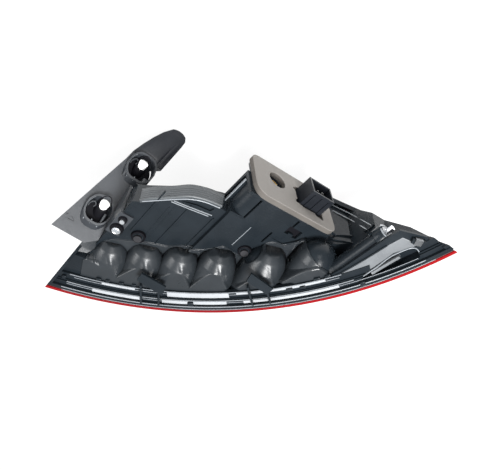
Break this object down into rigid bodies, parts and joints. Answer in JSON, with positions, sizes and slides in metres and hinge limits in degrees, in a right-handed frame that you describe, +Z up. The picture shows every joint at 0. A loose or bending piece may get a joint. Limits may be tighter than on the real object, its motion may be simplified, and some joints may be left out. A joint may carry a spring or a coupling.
{
  "type": "tail light cluster",
  "caption": "Wedge-shaped rear corner lamp with a curved red lens, black moulded rear housing, six bowls, foam-gasketed tower, socket and sloping fixing arm.",
  "frame": {"origin": "middle of the foam gasket's contact face, where the lamp seats on the body", "axes": "+X outboard, +Y forward into the body and square to the gasket's face, +Z up, right-hand lamp"},
  "size_m": [0.2919, 0.2972, 0.1274],
  "materials": {
    "housing": "moulded, satin, faint grain",
    "lens": "clear red acrylic, polished",
    "sealant": "hot-melt bead",
    "arm": "moulded, satin",
    "zinc": "zinc plated",
    "nylon": "natural nylon",
    "foam": "closed-cell foam, matt",
    "brass": "turned",
    "connector": "glass-filled nylon",
    "tin": "tin plated",
    "steel_pin": "turned",
    "bush": "moulded rubber",
    "dark_screw": "black coated",
    "metallised": "vacuum metallised",
    "aluminium_sheet": "rolled",
    "board": "white solder mask",
    "chip": "phosphor dome",
    "clear_plastic": "clear acrylic, fluted",
    "reflex": "prismatic red",
    "vent": "moulded",
    "spring_steel": "spring steel"
  },
  "bodies": {
    "root": {"rear_housing": "housing", "outer_lens": "lens", "lens_seal": "sealant", "mounting_arm": "arm", "arm_screw": "zinc", "arm_stud": "zinc", "arm_plugs": "nylon", "foam_gasket": "foam", "fixing_insert": "brass", "connector_body": "connector", "connector_blades": "tin", "locating_pin": "steel_pin", "tube_bush": "bush", "cover_screws": "dark_screw", "reflector": "metallised", "heat_sheet": "aluminium_sheet", "led_board": "board", "led_chips": "chip", "lower_trough": "metallised", "lower_board": "board", "lower_chips": "chip", "light_curtain": "clear_plastic", "reflex_strip": "reflex", "vent_cap": "vent", "end_clip": "spring_steel"}
  },
  "joints": []
}
